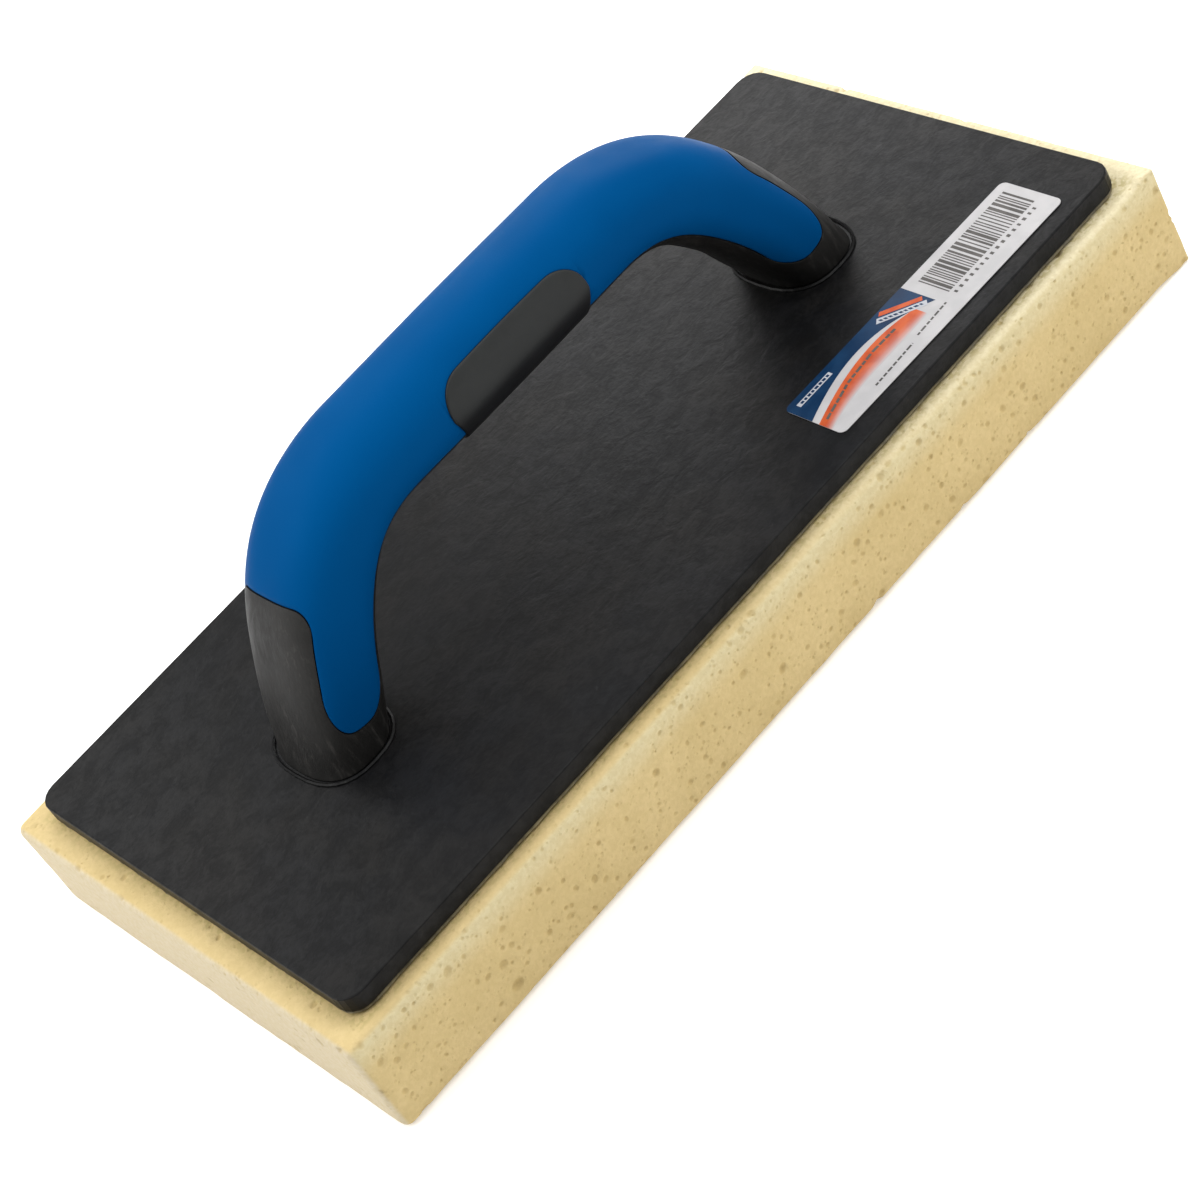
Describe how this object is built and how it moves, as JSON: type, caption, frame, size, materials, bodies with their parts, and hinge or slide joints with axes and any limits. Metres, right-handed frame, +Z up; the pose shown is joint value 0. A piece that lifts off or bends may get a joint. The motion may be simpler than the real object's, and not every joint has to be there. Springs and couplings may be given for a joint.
{
  "type": "sponge float",
  "caption": "Rectangular sponge float for wiping grout from tile joints: thick cream sponge under a thin black board, with an arched blue and black handle screwed on top.",
  "frame": {"origin": "centre of the sponge's flat working face, which is the lowest face of the part", "axes": "+X along the float's length and the handle, +Y across its width with the label on the -Y side, +Z up from the working face through the handle"},
  "size_m": [0.28, 0.14, 0.0978],
  "materials": {
    "sponge": "matte open-cell sponge",
    "glue": "satin",
    "board": "matte, fine moulded leather grain",
    "handle_black": "satin, scuffed",
    "handle_blue": "satin soft-touch moulding",
    "pad_black": "matte",
    "screw_steel": "zinc plated",
    "label": "satin"
  },
  "bodies": {
    "root": {"sponge_pad": "sponge", "adhesive_layer": "glue", "backing_board": "board", "handle_core": "handle_black", "grip_cover": "handle_blue", "finger_pad": "pad_black", "handle_screw_1": "screw_steel", "handle_screw_2": "screw_steel", "handle_screw_3": "screw_steel", "handle_screw_4": "screw_steel", "product_label": "label"}
  },
  "joints": []
}
